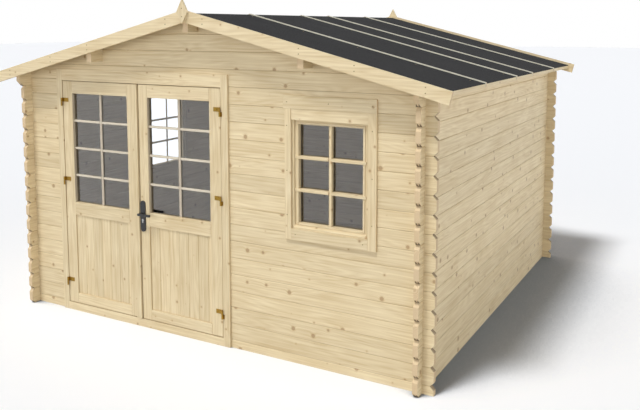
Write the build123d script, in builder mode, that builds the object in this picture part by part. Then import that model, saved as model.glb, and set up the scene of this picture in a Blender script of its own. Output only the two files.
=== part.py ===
"""Garden log cabin: interlocking log walls, felted pitched roof, half-glazed double door.

Millimetres, +Z up. X runs along the front wall (right is +X seen from outside), the front looks
along -Y, and the origin is on the ground in the middle of the plan.
"""
from build123d import *
import math
import os

os.makedirs("parts", exist_ok=True)

# Log walls
log_height = 120.0
log_thickness = 34.0
body_width = 3424.0
body_depth = 3290.0
log_overhang = 77.0
log_end_chamfer = 25.0
joint_groove = 4.0
wall_log_count = 16

# Roof
roof_angle = 14.0
roof_lift = 3.6
eave_overhang = 157.0
roof_board_thickness = 18.0
felt_thickness = 4.0
barge_thickness = 20.0
barge_width = 82.0
barge_rise = 20.0
barge_front = 138.0
barge_reach = 55.0
eave_board_thickness = 18.0
eave_board_height = 26.0
purlin_width = 44.0
purlin_height = 106.0
side_purlin_offset = 912.0
batten_width = 16.0
batten_thickness = 7.0
batten_hook = 28.0
batten_hook_thickness = 6.0
batten_distances = (680.0, 1470.0, 1960.0, 2740.0)
batten_ridge_gap = 3.0
finial_width = 92.0
finial_thickness = 16.0
finial_above_peak = 72.0
finial_widest_drop = 13.0
finial_below_peak = 92.0

# Floor
joist_width = 45.0
joist_height = 35.0
joist_count = 6
floor_board_thickness = 19.0
floor_gap = 2.0

# Door frame
door_from_left = 336.0
frame_width = 1646.0
frame_rise = 23.0
frame_post_width = 58.0
frame_proud = 15.0
frame_depth = 64.0
frame_groove_depth = 20.0
header_height = 89.0
sill_height = 61.0
stop_width = 15.0
stop_depth = 16.0

# Door leaves
leaf_gap = 5.0
meeting_gap = 8.0
meeting_offset = 12.0
leaf_thickness = 40.0
leaf_setback = 3.0
hinge_stile = 96.0
meeting_stile = 94.0
top_rail = 95.0
glass_height = 864.0
middle_rail = 111.0
bottom_rail = 88.0
glass_thickness = 4.0
glass_setback = 24.0
glass_lap = 8.0
panel_thickness = 20.0
panel_setback = 9.0
cover_strip_width = 44.0
cover_strip_thickness = 12.0

# Hinges
hinge_rise = 169.0
hinge_drops = (792.0, 164.0)
hinge_height = 64.0
hinge_knuckle_radius = 6.0
hinge_pin_radius = 3.0
running_clearance = 0.05
hinge_pin_length = 20.0
hinge_pin_stand_off = 11.5
hinge_plate_thickness = 3.0
hinge_leaf_reach = 60.0
hinge_post_reach = 14.0
hinge_web_start = 3.0
hinge_web_end = 9.0
hinge_knuckle_gap = 2.0

# Lock and handle
lock_plate_width = 45.0
lock_plate_length = 236.0
lock_plate_thickness = 8.0
lock_plate_edge = 2.0
lock_plate_drop = 22.0
spindle_rise = 818.0
neck_radius = 9.0
spindle_hole_radius = 13.0
lever_length = 108.0
lever_width = 17.0
lever_thickness = 12.0
lever_stand_off = 40.0
lever_fillet = 5.0

# Windows
window_glass_width = 471.0
window_glass_height = 660.0
sash_border = 27.0
sash_thickness = 30.0
sash_setback = 22.0
sash_gap = 2.0
window_glass_setback = 40.0
window_glass_lap = 6.0
window_frame_half_width = 300.0
window_frame_top = 445.0
window_frame_bottom = -385.0
window_frame_setback = 2.0
window_frame_depth = 58.0
trim_half_width = 340.0
trim_inner_half_width = 281.0
trim_top = 520.0
trim_header_bottom = 432.0
trim_bottom = -445.0
trim_bottom_top = -371.0
trim_thickness = 16.0
window_from_right = 654.0
window_below_wall_top = 614.0

# Worked-out sizes
slope = math.tan(math.radians(roof_angle))
slope_cos = math.cos(math.radians(roof_angle))
slope_sin = math.sin(math.radians(roof_angle))
half_width = body_width / 2
half_depth = body_depth / 2
front_y = -half_depth
wall_half_x = half_width + log_overhang
wall_half_y = half_depth + log_overhang
crossing_x = half_width - log_thickness / 2
crossing_y = half_depth - log_thickness / 2
wall_top = wall_log_count * log_height
plate_height = wall_top - log_height / 2
ridge_underside = wall_top + roof_lift + slope * (half_width - log_thickness)
roof_half_width = half_width + eave_overhang
barge_tip_x = roof_half_width + barge_reach
roof_half_length = half_depth + barge_front - barge_thickness
frame_left = -half_width + door_from_left
frame_right = frame_left + frame_width
frame_top = wall_top + frame_rise
front_window_x = half_width - window_from_right
front_window_z = wall_top - window_below_wall_top
left_window_z = front_window_z - log_height / 2


def roof_under(x):
    """Height of the underside of the roof boards at x."""
    return ridge_underside - slope * abs(x)


def above_roof(thickness):
    """Height to add to the underside for a layer of this thickness square to the slope."""
    return thickness / slope_cos


board_top = above_roof(roof_board_thickness)
felt_top = above_roof(roof_board_thickness + felt_thickness)


def save(piece, name):
    """Label a finished piece and write its STEP file."""
    piece.part.label = name
    export_step(piece.part, f"parts/{name}.step")


def joint_heights(first, top):
    """Heights of the joints between logs, from first up to just under top."""
    count = math.ceil((top - first) / log_height)
    return [first + log_height * step for step in range(count)]


def log_stack(plane, start, end, bottom, top, joints):
    """Add logs laid one on another, with a V groove on both faces at each joint.

    plane has its x direction along the wall and its z direction out of the outer face.
    """
    with BuildSketch(plane) as face:
        with Locations(((start + end) / 2, (bottom + top) / 2)):
            Rectangle(end - start, top - bottom)
    extrude(face.sketch, amount=-log_thickness)
    corner = plane.from_local_coords((start, 0, 0))
    with BuildSketch(Plane(corner, x_dir=plane.y_dir, z_dir=plane.x_dir)) as grooves:
        for height in joints:
            with Locations((height, 0), (height, -log_thickness)):
                RegularPolygon(joint_groove, 4)
    extrude(grooves.sketch, amount=end - start, mode=Mode.SUBTRACT)


def chamfer_log_ends(plane, ends, joints):
    """Cut the corners off the logs' free ends, a V at each joint."""
    with BuildSketch(plane) as corners:
        for end in ends:
            for height in joints:
                with Locations((end, height)):
                    RegularPolygon(log_end_chamfer, 4)
    extrude(corners.sketch, amount=-log_thickness, mode=Mode.SUBTRACT)


def notch_crossings(plane, crossings, heights):
    """Cut the half-log slots that let the crossing wall's logs lock in."""
    with BuildSketch(plane) as slots:
        for crossing in crossings:
            for height in heights:
                with Locations((crossing, height)):
                    Rectangle(log_thickness, log_height / 2)
    extrude(slots.sketch, amount=-log_thickness, mode=Mode.SUBTRACT)


def cut_box(low, high):
    """Cut a box, given by its low and high corners, out of the part."""
    middle = tuple((a + b) / 2 for a, b in zip(low, high))
    with Locations(middle):
        Box(*[b - a for a, b in zip(low, high)], mode=Mode.SUBTRACT)


def add_box(low, high):
    """Add a box given by its low and high corners."""
    middle = tuple((a + b) / 2 for a, b in zip(low, high))
    with Locations(middle):
        Box(*[b - a for a, b in zip(low, high)])


def prism(points, start, end, mode=Mode.ADD):
    """Extrude an outline in the X-Z plane from y = start to y = end."""
    with BuildSketch(Plane((0, start, 0), x_dir=(1, 0, 0), z_dir=(0, -1, 0))) as outline:
        with BuildLine():
            Polyline(*points, close=True)
        make_face()
    extrude(outline.sketch, amount=start - end, mode=mode)


def cut_above_roof(start, end):
    """Cut away everything above the underside of the roof boards."""
    reach = roof_half_width
    ridge = (0, ridge_underside)
    eave = roof_under(reach)
    above = ridge_underside + log_height
    outline = [(-reach, eave), ridge, (reach, eave), (reach, above), (-reach, above)]
    prism(outline, start, end, mode=Mode.SUBTRACT)


def purlin_pockets(start, end):
    """Cut the slots that the three purlins sit in."""
    for x in (-side_purlin_offset, 0, side_purlin_offset):
        low = (x - purlin_width / 2, start, roof_under(x) - purlin_height)
        high = (x + purlin_width / 2, end, ridge_underside + log_height)
        cut_box(low, high)


def side_wall(plane):
    """Add a side wall: stacked logs, chamfered ends and a top log carried out to the barge boards."""
    top = roof_under(half_width - log_thickness)
    log_stack(plane, -wall_half_y, wall_half_y, 0, top, side_joints)
    chamfer_log_ends(plane, (-wall_half_y, wall_half_y), [0] + side_joints)
    nose_bottom = wall_top - log_height
    nose_reach = barge_front - barge_thickness - log_overhang
    for side in (-1, 1):
        end = side * wall_half_y
        tip = end + side * nose_reach
        inner = end - side * log_end_chamfer
        rise = nose_bottom + nose_reach
        with BuildSketch(plane) as nose:
            with BuildLine():
                Polyline((inner, nose_bottom), (end, nose_bottom), (tip, rise))
                Polyline((tip, rise), (tip, top), (inner, top), (inner, nose_bottom))
            make_face()
        extrude(nose.sketch, amount=-log_thickness)
    notch_crossings(plane, (-crossing_y, crossing_y), [0] + side_joints + [wall_top])
    cut_above_roof(-roof_half_length, roof_half_length)


def window_hole(plane, x, z):
    """Cut the hole for a window whose glass is centred on x, z of a wall's plane."""
    with BuildSketch(plane) as hole:
        with Locations((x, z + (window_frame_top + window_frame_bottom) / 2)):
            Rectangle(2 * window_frame_half_width, window_frame_top - window_frame_bottom)
    extrude(hole.sketch, amount=-log_thickness, mode=Mode.SUBTRACT)


def slab(plane, depth, thickness, outer, mode=Mode.ADD):
    """Extrude a rectangle (left, bottom, right, top) from depth behind plane inwards."""
    left, bottom, right, top = outer
    with BuildSketch(plane.offset(-depth)) as face:
        with Locations(((left + right) / 2, (bottom + top) / 2)):
            Rectangle(right - left, top - bottom)
    extrude(face.sketch, amount=-thickness, mode=mode)


def centred(half_wide, half_high):
    """Rectangle about the origin as (left, bottom, right, top)."""
    return (-half_wide, -half_high, half_wide, half_high)


# Planes on the walls' outer faces: x along the wall, y up, z out
front_plane = Plane((0, front_y, 0), x_dir=(1, 0, 0), z_dir=(0, -1, 0))
back_plane = Plane((0, half_depth, 0), x_dir=(-1, 0, 0), z_dir=(0, 1, 0))
right_plane = Plane((half_width, 0, 0), x_dir=(0, 1, 0), z_dir=(1, 0, 0))
left_plane = Plane((-half_width, 0, 0), x_dir=(0, -1, 0), z_dir=(-1, 0, 0))

# Side walls start with a whole log, the front and back walls with half a log
side_joints = joint_heights(log_height, wall_top)
gable_joints = joint_heights(log_height / 2, ridge_underside)
low_joints = [height for height in gable_joints if height < plate_height]
high_joints = [height for height in gable_joints if height >= plate_height]

# Side walls
with BuildPart() as right_wall:
    side_wall(right_plane)
save(right_wall, "right_wall")

with BuildPart() as left_wall:
    side_wall(left_plane)
    window_hole(left_plane, 0, left_window_z)
save(left_wall, "left_wall")

# Back wall with its gable
with BuildPart() as back_wall:
    log_stack(back_plane, -wall_half_x, wall_half_x, 0, ridge_underside, gable_joints)
    chamfer_log_ends(back_plane, (-wall_half_x, wall_half_x), gable_joints)
    notch_crossings(back_plane, (-crossing_x, crossing_x), gable_joints)
    cut_above_roof(half_depth - log_thickness, half_depth)
    purlin_pockets(half_depth - log_thickness, half_depth)
save(back_wall, "back_wall")

# Front wall beside the doorway, its ends held in the grooves of the door posts
left_groove = frame_left + frame_groove_depth
right_groove = frame_right - frame_groove_depth

with BuildPart() as front_wall_left:
    log_stack(front_plane, -wall_half_x, left_groove, 0, plate_height, low_joints)
    chamfer_log_ends(front_plane, (-wall_half_x,), low_joints + [plate_height])
    notch_crossings(front_plane, (-crossing_x,), low_joints + [plate_height])
save(front_wall_left, "front_wall_left")

with BuildPart() as front_wall_right:
    log_stack(front_plane, right_groove, wall_half_x, 0, plate_height, low_joints)
    chamfer_log_ends(front_plane, (wall_half_x,), low_joints + [plate_height])
    notch_crossings(front_plane, (crossing_x,), low_joints + [plate_height])
    window_hole(front_plane, front_window_x, front_window_z)
save(front_wall_right, "front_wall_right")

# Front gable over the doorway
with BuildPart() as front_gable:
    log_stack(front_plane, -wall_half_x, wall_half_x, plate_height, ridge_underside, high_joints)
    chamfer_log_ends(front_plane, (-wall_half_x, wall_half_x), high_joints)
    notch_crossings(front_plane, (-crossing_x, crossing_x), high_joints)
    cut_above_roof(front_y, front_y + log_thickness)
    purlin_pockets(front_y, front_y + log_thickness)
    cut_box((left_groove, front_y, plate_height), (right_groove, front_y + log_thickness, frame_top))
save(front_gable, "front_gable")

# Purlins, their tops cut to the slope of the roof
with BuildPart() as ridge_purlin:
    edge = purlin_width / 2
    bottom = ridge_underside - purlin_height
    ridge_outline = [(-edge, bottom), (edge, bottom), (edge, roof_under(edge))]
    ridge_outline += [(0, ridge_underside), (-edge, roof_under(edge))]
    prism(ridge_outline, -roof_half_length, roof_half_length)
save(ridge_purlin, "ridge_purlin")

with BuildPart() as side_purlins:
    for side in (-1, 1):
        near = side * (side_purlin_offset - purlin_width / 2)
        far = side * (side_purlin_offset + purlin_width / 2)
        bottom = roof_under(side_purlin_offset) - purlin_height
        side_outline = [(near, bottom), (far, bottom), (far, roof_under(far)), (near, roof_under(near))]
        prism(side_outline, -roof_half_length, roof_half_length)
save(side_purlins, "side_purlins")

# Roof boards, eave boards, felt and battens
board_end = roof_half_width - eave_board_thickness


def slope_layer(side, inner, outer, low, high, start, end):
    """Add a layer of one roof slope between heights low and high over the underside."""
    points = [(side * inner, roof_under(inner) + low), (side * outer, roof_under(outer) + low)]
    points += [(side * outer, roof_under(outer) + high), (side * inner, roof_under(inner) + high)]
    prism(points, start, end)


for side, boards_name in ((-1, "left_roof_boards"), (1, "right_roof_boards")):
    with BuildPart() as roof_boards:
        slope_layer(side, 0, board_end, 0, board_top, -roof_half_length, roof_half_length)
    save(roof_boards, boards_name)

with BuildPart() as eave_boards:
    for side in (-1, 1):
        drop = board_top - eave_board_height
        slope_layer(side, board_end, roof_half_width, drop, board_top, -roof_half_length, roof_half_length)
save(eave_boards, "eave_boards")

with BuildPart() as roof_felt:
    for side in (-1, 1):
        slope_layer(side, 0, roof_half_width, board_top, felt_top, -roof_half_length, roof_half_length)
save(roof_felt, "roof_felt")

with BuildPart() as felt_battens:
    batten_top = felt_top + above_roof(batten_thickness)
    for side in (-1, 1):
        for distance in batten_distances:
            start = front_y + distance - batten_width / 2
            end = start + batten_width
            slope_layer(side, batten_ridge_gap, roof_half_width, felt_top, batten_top, start, end)
            hook_x = roof_half_width + batten_hook_thickness
            hook_bottom = batten_top - batten_hook
            slope_layer(side, roof_half_width, hook_x, hook_bottom, batten_top, start, end)
save(felt_battens, "felt_battens")

# Barge boards, longer than the roof, their ends cut square and their tops standing above the felt
peak = ridge_underside + felt_top + above_roof(barge_rise)
barge_drop = above_roof(barge_width)
for end_name, end in (("front", -1), ("back", 1)):
    for side, side_name in ((-1, "left"), (1, "right")):
        with BuildPart() as barge_board:
            tip_z = peak - slope * barge_tip_x
            foot_x = barge_tip_x - barge_width * slope_sin
            foot_z = tip_z - barge_width * slope_cos
            points = [(0, peak - barge_drop), (0, peak)]
            points += [(side * barge_tip_x, tip_z), (side * foot_x, foot_z)]
            outer_y = end * (half_depth + barge_front)
            inner_y = outer_y - end * barge_thickness
            prism(points, min(outer_y, inner_y), max(outer_y, inner_y))
        save(barge_board, f"{end_name}_barge_{side_name}")

with BuildPart() as finials:
    edge = finial_width / 2
    widest = peak - finial_widest_drop
    kite = [(0, peak + finial_above_peak), (edge, widest), (0, peak - finial_below_peak), (-edge, widest)]
    face_y = half_depth + barge_front
    prism(kite, -face_y - finial_thickness, -face_y)
    prism(kite, face_y, face_y + finial_thickness)
save(finials, "finials")

# Floor: joists on the ground and one layer of boards, cut out round the door frame
inside_x = half_width - log_thickness - floor_gap
inside_y = half_depth - log_thickness - floor_gap
frame_back_y = front_y - frame_proud + frame_depth

with BuildPart() as floor_joists:
    spacing = 2 * (inside_x - joist_width / 2) / (joist_count - 1)
    with Locations((0, (inside_y + frame_back_y) / 2 + floor_gap, joist_height / 2)):
        with GridLocations(spacing, 0, joist_count, 1):
            Box(joist_width, inside_y - frame_back_y - 2 * floor_gap, joist_height)
save(floor_joists, "floor_joists")

with BuildPart() as floor_boards:
    floor_top = joist_height + floor_board_thickness
    add_box((-inside_x, -inside_y, joist_height), (inside_x, inside_y, floor_top))
    cut_box(
        (frame_left - floor_gap, -inside_y, joist_height),
        (frame_right + floor_gap, frame_back_y + floor_gap, floor_top),
    )
save(floor_boards, "floor_boards")

# Door frame: two grooved posts, a header and a sill, each with a stop behind the leaves
frame_front_y = front_y - frame_proud
opening_left = frame_left + frame_post_width
opening_right = frame_right - frame_post_width
header_bottom = frame_top - header_height
stop_y = frame_back_y - stop_depth

for side, post_name in ((-1, "left_door_post"), (1, "right_door_post")):
    outer_x = frame_left if side < 0 else frame_right
    inner_x = outer_x - side * frame_post_width
    with BuildPart() as door_post:
        low_x, high_x = sorted((outer_x, inner_x))
        add_box((low_x, frame_front_y, 0), (high_x, frame_back_y, frame_top))
        low_x, high_x = sorted((inner_x, inner_x - side * stop_width))
        add_box((low_x, stop_y, 0), (high_x, frame_back_y, frame_top))
        low_x, high_x = sorted((outer_x, outer_x - side * frame_groove_depth))
        cut_box((low_x, front_y, 0), (high_x, front_y + log_thickness, frame_top))
    save(door_post, post_name)

with BuildPart() as door_header:
    add_box((opening_left, frame_front_y, header_bottom), (opening_right, stop_y, frame_top))
    add_box(
        (opening_left + stop_width, stop_y, header_bottom - stop_width),
        (opening_right - stop_width, frame_back_y, frame_top),
    )
save(door_header, "door_header")

with BuildPart() as door_sill:
    add_box((opening_left, frame_front_y, 0), (opening_right, stop_y, sill_height))
    add_box(
        (opening_left + stop_width, stop_y, 0),
        (opening_right - stop_width, frame_back_y, sill_height + stop_width),
    )
save(door_sill, "door_sill")

# Door leaves
leaf_bottom = sill_height + leaf_gap
leaf_top = header_bottom - leaf_gap
leaf_front_y = frame_front_y + leaf_setback
leaf_plane = Plane((0, leaf_front_y, 0), x_dir=(1, 0, 0), z_dir=(0, -1, 0))
meeting_x = (opening_left + opening_right) / 2 + meeting_offset
left_leaf_start = opening_left + leaf_gap
left_leaf_end = meeting_x - meeting_gap / 2
right_leaf_start = meeting_x + meeting_gap / 2
right_leaf_end = opening_right - leaf_gap
leaf_width = (opening_right - opening_left - meeting_gap) / 2 - leaf_gap
pane_width = leaf_width - hinge_stile - meeting_stile
glass_bottom = leaf_top - top_rail - glass_height
panel_top = glass_bottom - middle_rail
panel_bottom = leaf_bottom + bottom_rail
plate_x = right_leaf_start + lock_plate_edge + lock_plate_width / 2
spindle_height = leaf_bottom + spindle_rise


def grown(outer, margin):
    """A rectangle (left, bottom, right, top) grown by margin on every side."""
    left, bottom, right, top = outer
    return (left - margin, bottom - margin, right + margin, top + margin)


for leaf_name, start, end in (
    ("left_door", left_leaf_start, left_leaf_end),
    ("right_door", right_leaf_start, right_leaf_end),
):
    is_left = leaf_name == "left_door"
    hole_left = start + hinge_stile if is_left else end - hinge_stile - pane_width
    hole_right = hole_left + pane_width
    glass_hole = (hole_left, glass_bottom, hole_right, glass_bottom + glass_height)
    panel_hole = (hole_left, panel_bottom, hole_right, panel_top)
    with BuildPart() as leaf_frame:
        slab(leaf_plane, 0, leaf_thickness, (start, leaf_bottom, end, leaf_top))
        slab(leaf_plane, 0, leaf_thickness, glass_hole, Mode.SUBTRACT)
        slab(leaf_plane, 0, leaf_thickness, panel_hole, Mode.SUBTRACT)
        slab(leaf_plane, glass_setback, glass_thickness, grown(glass_hole, glass_lap), Mode.SUBTRACT)
        slab(leaf_plane, panel_setback, panel_thickness, grown(panel_hole, glass_lap), Mode.SUBTRACT)
        if not is_left:
            with BuildSketch(leaf_plane) as spindle_hole:
                with Locations((plate_x, spindle_height)):
                    Circle(spindle_hole_radius)
            extrude(spindle_hole.sketch, amount=-leaf_thickness, mode=Mode.SUBTRACT)
    save(leaf_frame, f"{leaf_name}_frame")
    with BuildPart() as leaf_glass:
        slab(leaf_plane, glass_setback, glass_thickness, grown(glass_hole, glass_lap))
    save(leaf_glass, f"{leaf_name}_glass")
    with BuildPart() as leaf_panel:
        slab(leaf_plane, panel_setback, panel_thickness, grown(panel_hole, glass_lap))
    save(leaf_panel, f"{leaf_name}_panel")

with BuildPart() as cover_strip:
    strip = (left_leaf_end - cover_strip_width, leaf_bottom, left_leaf_end, leaf_top)
    slab(leaf_plane, -cover_strip_thickness, cover_strip_thickness, strip)
save(cover_strip, "cover_strip")

# Lift-off hinges: a pin with its plate on the post, a knuckle with its flag on the leaf
hinge_heights = [leaf_bottom + hinge_rise] + [leaf_top - drop for drop in hinge_drops]
pin_y = frame_front_y - hinge_pin_stand_off
pin_offset = leaf_gap / 2
knuckle_height = hinge_height / 2 - hinge_knuckle_gap / 2


def hinge_half(pin_x, side, middle, on_leaf):
    """Add one hinge half; side is +1 where the leaf lies to the right of the pin."""
    face_y = leaf_front_y if on_leaf else frame_front_y
    outward = side if on_leaf else -side
    reach = hinge_leaf_reach if on_leaf else hinge_post_reach
    knuckle_low = middle + hinge_knuckle_gap / 2 if on_leaf else middle - hinge_height / 2
    knuckle_high = knuckle_low + knuckle_height
    with Locations((pin_x, pin_y, knuckle_low + knuckle_height / 2)):
        Cylinder(hinge_knuckle_radius, knuckle_height)
    low_x, high_x = sorted((pin_x + outward * hinge_web_start, pin_x + outward * hinge_web_end))
    add_box((low_x, pin_y, knuckle_low), (high_x, face_y, knuckle_high))
    low_x, high_x = sorted((pin_x + outward * hinge_web_start, pin_x + outward * reach))
    add_box((low_x, face_y - hinge_plate_thickness, knuckle_low), (high_x, face_y, knuckle_high))
    if on_leaf:
        with Locations((pin_x, pin_y, knuckle_low + hinge_pin_length / 2)):
            Cylinder(hinge_pin_radius + running_clearance, hinge_pin_length, mode=Mode.SUBTRACT)
    else:
        tip = middle + hinge_pin_length - hinge_knuckle_gap
        with Locations((pin_x, pin_y, (middle + tip) / 2 - hinge_knuckle_gap / 2)):
            Cylinder(hinge_pin_radius, tip - middle + hinge_knuckle_gap)


for side, side_name, edge_x in ((1, "left", opening_left), (-1, "right", opening_right)):
    pin_x = edge_x + side * pin_offset
    with BuildPart() as leaf_hinges:
        for middle in hinge_heights:
            hinge_half(pin_x, side, middle, on_leaf=True)
    save(leaf_hinges, f"{side_name}_door_hinges")
    with BuildPart() as post_hinges:
        for middle in hinge_heights:
            hinge_half(pin_x, side, middle, on_leaf=False)
    save(post_hinges, f"{side_name}_post_hinges")

# Lock plates and the lever handle on the right leaf
leaf_back_plane = leaf_plane.offset(-leaf_thickness)
plate_outer = leaf_plane.offset(lock_plate_thickness)
with BuildPart() as lock_plates:
    for plane in (plate_outer, leaf_back_plane):
        with BuildSketch(plane) as plate:
            with Locations((plate_x, spindle_height - lock_plate_drop)):
                SlotOverall(lock_plate_length, lock_plate_width, rotation=90)
            with Locations((plate_x, spindle_height)):
                Circle(neck_radius + running_clearance, mode=Mode.SUBTRACT)
        extrude(plate.sketch, amount=-lock_plate_thickness)
save(lock_plates, "lock_plates")

with BuildPart() as door_handle:
    reach = lock_plate_thickness + lever_stand_off
    with BuildSketch(leaf_plane.offset(reach)) as spindle:
        with Locations((plate_x, spindle_height)):
            Circle(neck_radius)
    extrude(spindle.sketch, amount=-(2 * reach + leaf_thickness))
    lever_low = (plate_x - neck_radius, spindle_height - lever_width / 2)
    lever_high = (plate_x + lever_length, spindle_height + lever_width / 2)
    for depth in (-(reach + lever_thickness), leaf_thickness + reach):
        slab(leaf_plane, depth, lever_thickness, lever_low + lever_high)
    ends = door_handle.edges().filter_by(Axis.Y).filter_by(GeomType.LINE)
    fillet(ends, lever_fillet)
save(door_handle, "door_handle")

# Windows: frame in the wall, sash with its glass, and trim boards over the joint
sash_half_width = window_glass_width / 2 + sash_border
sash_half_height = window_glass_height / 2 + sash_border
glass_rectangle = centred(window_glass_width / 2, window_glass_height / 2)
sash_rectangle = centred(sash_half_width, sash_half_height)


def make_window(name, plane):
    """Write the four pieces of a window whose glass is centred on plane's origin."""
    with BuildPart() as frame:
        outer = (-window_frame_half_width, window_frame_bottom, window_frame_half_width, window_frame_top)
        slab(plane, window_frame_setback, window_frame_depth, outer)
        inner = grown(sash_rectangle, sash_gap)
        slab(plane, window_frame_setback, window_frame_depth, inner, Mode.SUBTRACT)
    save(frame, f"{name}_frame")
    with BuildPart() as sash:
        slab(plane, sash_setback, sash_thickness, sash_rectangle)
        slab(plane, sash_setback, sash_thickness, glass_rectangle, Mode.SUBTRACT)
        groove = grown(glass_rectangle, window_glass_lap)
        slab(plane, window_glass_setback, glass_thickness, groove, Mode.SUBTRACT)
    save(sash, f"{name}_sash")
    with BuildPart() as glass:
        slab(plane, window_glass_setback, glass_thickness, grown(glass_rectangle, window_glass_lap))
    save(glass, f"{name}_glass")
    with BuildPart() as trim:
        outer = (-trim_half_width, trim_bottom, trim_half_width, trim_top)
        inner = (-trim_inner_half_width, trim_bottom_top, trim_inner_half_width, trim_header_bottom)
        slab(plane, -trim_thickness, trim_thickness, outer)
        slab(plane, -trim_thickness, trim_thickness, inner, Mode.SUBTRACT)
    save(trim, f"{name}_trim")


make_window("front_window", front_plane.move(Location((front_window_x, front_window_z, 0))))
make_window("left_window", left_plane.move(Location((0, left_window_z, 0))))
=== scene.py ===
"""Garden log cabin: boards, glazing bars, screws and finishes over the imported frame."""

import logging
import math
from dataclasses import dataclass, field
from enum import Enum
from typing import Callable, Iterable, Sequence

import bmesh
import bpy
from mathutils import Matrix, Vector


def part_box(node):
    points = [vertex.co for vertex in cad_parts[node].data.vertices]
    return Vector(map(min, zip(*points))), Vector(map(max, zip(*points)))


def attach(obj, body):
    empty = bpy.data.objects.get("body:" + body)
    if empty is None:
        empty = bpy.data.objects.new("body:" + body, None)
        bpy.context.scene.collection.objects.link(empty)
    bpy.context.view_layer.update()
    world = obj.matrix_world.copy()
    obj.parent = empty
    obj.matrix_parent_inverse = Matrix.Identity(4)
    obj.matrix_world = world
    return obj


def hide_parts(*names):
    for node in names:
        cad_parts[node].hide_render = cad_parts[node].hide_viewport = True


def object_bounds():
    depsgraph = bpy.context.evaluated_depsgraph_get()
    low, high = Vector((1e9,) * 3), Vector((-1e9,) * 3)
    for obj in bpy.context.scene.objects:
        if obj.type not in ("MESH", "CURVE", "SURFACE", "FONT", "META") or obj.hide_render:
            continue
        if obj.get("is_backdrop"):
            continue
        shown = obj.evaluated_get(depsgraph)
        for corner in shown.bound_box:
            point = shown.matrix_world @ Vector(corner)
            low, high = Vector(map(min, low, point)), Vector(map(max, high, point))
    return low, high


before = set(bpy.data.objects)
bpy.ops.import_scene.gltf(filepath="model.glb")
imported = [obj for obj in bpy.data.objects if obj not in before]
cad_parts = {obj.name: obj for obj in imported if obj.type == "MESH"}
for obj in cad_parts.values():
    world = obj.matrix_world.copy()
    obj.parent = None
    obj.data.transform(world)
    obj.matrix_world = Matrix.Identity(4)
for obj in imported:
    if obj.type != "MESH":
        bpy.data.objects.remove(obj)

LOG = logging.getLogger("log_cabin")
MM = 0.001
Colour = tuple[float, float, float, float]
Triple = Sequence[float]
Piece = bpy.types.Object
Socket = bpy.types.NodeSocket

COURSE = 120 * MM
LOG_THICK = 34 * MM
FRONT_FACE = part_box("front_gable")[0].y
LEFT_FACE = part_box("left_window_trim")[1].x
BOARD_GAP = 0.6 * MM
FORWARD = (0.0, -1.0, 0.0)


def grey(level: float) -> Colour:
    """An even grey of a linear level."""
    return (level, level, level, 1.0)


@dataclass(frozen=True)
class Block:
    """A block of space between its lowest and highest corner, in metres."""

    low: Vector
    high: Vector

    @classmethod
    def of(cls, node: str) -> "Block":
        """The block that a node of the frame fills."""
        low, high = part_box(node)
        return cls(Vector(low), Vector(high))

    @classmethod
    def between(cls, first: Triple, second: Triple) -> "Block":
        """The block between any two opposite corners."""
        return cls(Vector(map(min, first, second)), Vector(map(max, first, second)))

    @property
    def middle(self) -> Vector:
        """The middle of the block."""
        return (self.low + self.high) / 2

    @property
    def size(self) -> Vector:
        """The block's three sides."""
        return self.high - self.low


@dataclass(frozen=True)
class Finish:
    """A material, and the slot that it belongs to."""

    material: bpy.types.Material
    slot: str


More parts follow.
